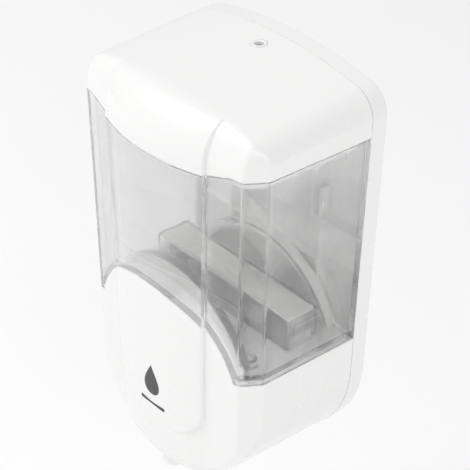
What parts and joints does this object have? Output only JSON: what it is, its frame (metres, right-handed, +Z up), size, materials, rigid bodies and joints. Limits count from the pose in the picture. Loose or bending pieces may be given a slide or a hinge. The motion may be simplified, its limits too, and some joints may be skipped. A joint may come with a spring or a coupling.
{
  "type": "wall mounted soap dispenser",
  "caption": "Wall mounted automatic soap dispenser: domed lift-off lid, clear tank, rounded lower cover with gear pump, sensor, spout and a battery drawer underneath.",
  "frame": {"origin": "middle of the flat rear face that lies on the wall", "axes": "+Z up along the wall, +Y into the wall, +X to the right as seen from the front; the front faces -Y"},
  "size_m": [0.1192, 0.0864, 0.2112],
  "materials": {
    "white_shell": "gloss",
    "clear_tank": "gloss",
    "chassis_plastic": "satin",
    "grey_plastic": "satin",
    "natural_plastic": "satin",
    "dark_plastic": "satin",
    "window_plastic": "gloss",
    "steel": "satin",
    "zinc_screw": "gloss",
    "motor_steel": "satin",
    "brass_gear": "satin",
    "soft_tube": "satin",
    "black_rubber": "matte",
    "board_green": "satin",
    "chip_black": "matte",
    "clear_lens": "gloss",
    "battery_wrap": "gloss",
    "wire_jacket": "satin"
  },
  "bodies": {
    "housing": {"back_plate": "white_shell", "chassis": "chassis_plastic", "lower_cover": "white_shell", "tank": "clear_tank", "tank_screws": "zinc_screw", "screw_washers": "black_rubber", "cover_screws": "zinc_screw", "outlet_gasket": "black_rubber", "outlet_strainer": "steel", "outlet_spigot": "natural_plastic", "inlet_tube": "soft_tube", "pump_body": "natural_plastic", "pump_gasket": "black_rubber", "pump_cover": "grey_plastic", "pump_screws": "zinc_screw", "gear_plate": "grey_plastic", "gear_pin": "steel", "idler_pin": "steel", "motor_can": "motor_steel", "motor_cap": "dark_plastic", "motor_terminals": "brass_gear", "outlet_tube": "soft_tube", "hose_clips": "dark_plastic", "nozzle": "white_shell", "nozzle_valve": "black_rubber", "nozzle_nut": "grey_plastic", "circuit_board": "board_green", "board_chips": "chip_black", "board_capacitor": "dark_plastic", "board_screws": "zinc_screw", "sensor_board": "board_green", "sensor_holder": "dark_plastic", "ir_emitter": "clear_lens", "ir_receiver": "dark_plastic", "status_lamp": "clear_lens", "sensor_window": "window_plastic", "switch_body": "dark_plastic", "contact_carrier": "natural_plastic", "top_contacts": "steel", "wires": "wire_jacket", "catch_spring": "steel"},
    "lid_body": {"lid": "white_shell", "lock_bush": "white_shell"},
    "catch": {"lid_catch": "natural_plastic"},
    "rotor": {"motor_shaft": "steel", "motor_pinion": "brass_gear"},
    "reduction": {"reduction_gear": "natural_plastic"},
    "pump_drive": {"pump_shaft": "steel", "pump_wheel": "natural_plastic", "pump_drive_gear": "natural_plastic"},
    "pump_idler": {"pump_idler_gear": "natural_plastic"},
    "switch_knob": {"switch_slider": "dark_plastic"},
    "battery_drawer": {"battery_door": "white_shell", "battery_tray": "grey_plastic", "battery_cells": "battery_wrap", "battery_springs": "steel"}
  },
  "joints": [
    {"name": "lid_lift", "type": "slide", "parent": "housing", "child": "lid_body", "axis": [0, 0, 1], "range_m": [0, 0.06]},
    {"name": "catch_slide", "type": "slide", "parent": "housing", "child": "catch", "axis": [0, 1, 0], "range_m": [0, 0.0025], "stiffness_N_per_m": 150, "deforming": ["catch_spring"]},
    {"name": "pump_spin", "type": "hinge", "parent": "housing", "child": "pump_drive", "pos_m": [0.011, -0.05, -0.06], "axis": [0, 1, 0], "continuous": true},
    {"name": "idler_spin", "type": "hinge", "parent": "housing", "child": "pump_idler", "pos_m": [-0.001, -0.056, -0.06], "axis": [0, 1, 0], "continuous": true},
    {"name": "reduction_spin", "type": "hinge", "parent": "housing", "child": "reduction", "pos_m": [0.0236, -0.047, -0.06], "axis": [0, 1, 0], "continuous": true},
    {"name": "motor_spin", "type": "hinge", "parent": "housing", "child": "rotor", "pos_m": [0.0368, -0.05, -0.06], "axis": [0, 1, 0], "continuous": true},
    {"name": "switch_slide", "type": "slide", "parent": "housing", "child": "switch_knob", "axis": [0, -1, 0], "range_m": [0, 0.004]},
    {"name": "drawer_slide", "type": "slide", "parent": "housing", "child": "battery_drawer", "axis": [0, 0, -1], "range_m": [0, 0.07]}
  ],
  "couplings": [
    {"joint": "idler_spin", "follows": "pump_spin", "ratio": -1},
    {"joint": "reduction_spin", "follows": "pump_spin", "ratio": -2.5},
    {"joint": "motor_spin", "follows": "pump_spin", "ratio": 8.5}
  ]
}
